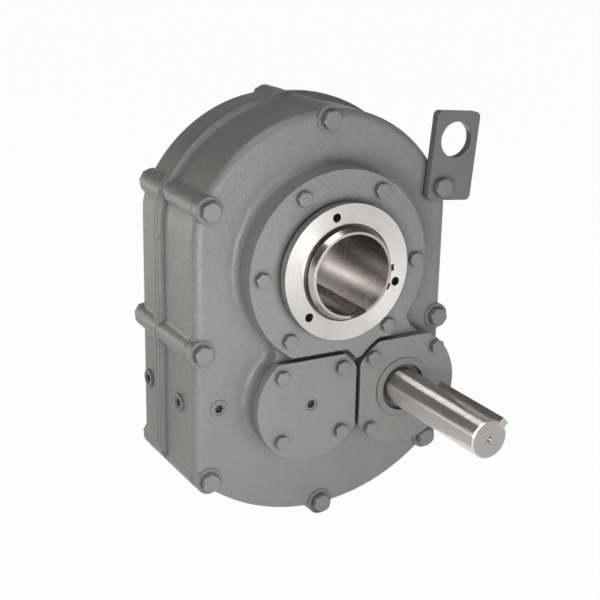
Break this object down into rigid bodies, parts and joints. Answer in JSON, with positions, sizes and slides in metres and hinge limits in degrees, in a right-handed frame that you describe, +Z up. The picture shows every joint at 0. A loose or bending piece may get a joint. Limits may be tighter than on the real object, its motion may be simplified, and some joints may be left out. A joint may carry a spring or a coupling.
{
  "type": "shaft mount speed reducer",
  "caption": "Double-reduction shaft mount gearbox in a ribbed cast housing, with a hollow output hub, a keyed input shaft and a drilled bracket plate.",
  "frame": {"origin": "on the output hub's axis, halfway between the hub's two ends", "axes": "+Z up as the housing stands in the picture, +Y from the front, which carries the input shaft, to the rear, along the output axis; +X to the right seen from the front"},
  "size_m": [0.3467, 0.3934, 0.4695],
  "materials": {
    "enamelled_casting": "satin grey enamel over cast iron",
    "enamelled_hardware": "satin grey enamel",
    "enamelled_plate": "satin grey enamel on flat plate",
    "gasket": "compressed fibre sheet",
    "seal": "moulded rubber lip seal",
    "machined_steel": "fine turned steel",
    "polished_steel": "ground steel",
    "spring_steel": "dark phosphated spring steel",
    "hub_iron": "machined ductile iron",
    "gear_steel": "hardened gear steel",
    "bearing_steel": "ground bearing steel"
  },
  "bodies": {
    "housing": {"front_housing": "enamelled_casting", "rear_housing": "enamelled_casting", "parting_gasket": "gasket", "dowel_pins": "bearing_steel", "housing_bolts": "enamelled_hardware", "housing_nuts": "enamelled_hardware", "bracket_plate": "enamelled_plate", "front_seal_carrier": "enamelled_casting", "rear_seal_carrier": "enamelled_casting", "front_countershaft_cover": "enamelled_casting", "rear_countershaft_cover": "enamelled_casting", "front_input_cover": "enamelled_casting", "rear_input_cover": "enamelled_casting", "front_carrier_bolts": "enamelled_hardware", "rear_carrier_bolts": "enamelled_hardware", "front_cover_bolts": "enamelled_hardware", "rear_cover_bolts": "enamelled_hardware", "front_output_seal": "seal", "rear_output_seal": "seal", "input_seal": "seal", "face_plugs": "enamelled_hardware", "wall_plugs": "enamelled_hardware", "output_bearing_cup_front": "bearing_steel", "output_bearing_cup_rear": "bearing_steel", "countershaft_bearing_cup_front": "bearing_steel", "countershaft_bearing_cup_rear": "bearing_steel", "input_bearing_cup_front": "bearing_steel", "input_bearing_cup_rear": "bearing_steel"},
    "output": {"output_hub": "hub_iron", "output_gear": "gear_steel", "output_gear_key": "bearing_steel", "output_gear_spacer": "bearing_steel", "front_collar": "machined_steel", "rear_collar": "machined_steel", "front_retaining_ring": "spring_steel", "rear_retaining_ring": "spring_steel", "output_bearing_cone_front": "bearing_steel", "output_bearing_cone_rear": "bearing_steel", "output_bearing_rollers_front": "bearing_steel", "output_bearing_rollers_rear": "bearing_steel"},
    "countershaft": {"countershaft_pinion": "gear_steel", "countershaft_gear": "gear_steel", "countershaft_gear_key": "bearing_steel", "countershaft_spacer": "bearing_steel", "countershaft_bearing_cone_front": "bearing_steel", "countershaft_bearing_cone_rear": "bearing_steel", "countershaft_bearing_rollers_front": "bearing_steel", "countershaft_bearing_rollers_rear": "bearing_steel"},
    "input": {"input_shaft": "polished_steel", "input_key": "polished_steel", "input_bearing_cone_front": "bearing_steel", "input_bearing_cone_rear": "bearing_steel", "input_bearing_rollers_front": "bearing_steel", "input_bearing_rollers_rear": "bearing_steel"}
  },
  "joints": [
    {"name": "output_spin", "type": "hinge", "parent": "housing", "child": "output", "pos_m": [0, 0, 0], "axis": [0, 1, 0], "continuous": true},
    {"name": "countershaft_spin", "type": "hinge", "parent": "housing", "child": "countershaft", "pos_m": [-0.031, 0, -0.1484], "axis": [0, 1, 0], "continuous": true},
    {"name": "input_spin", "type": "hinge", "parent": "housing", "child": "input", "pos_m": [0.0862, 0, -0.1484], "axis": [0, 1, 0], "continuous": true}
  ],
  "couplings": [
    {"joint": "countershaft_spin", "follows": "output_spin", "ratio": -4.4286},
    {"joint": "input_spin", "follows": "output_spin", "ratio": 13.918}
  ]
}
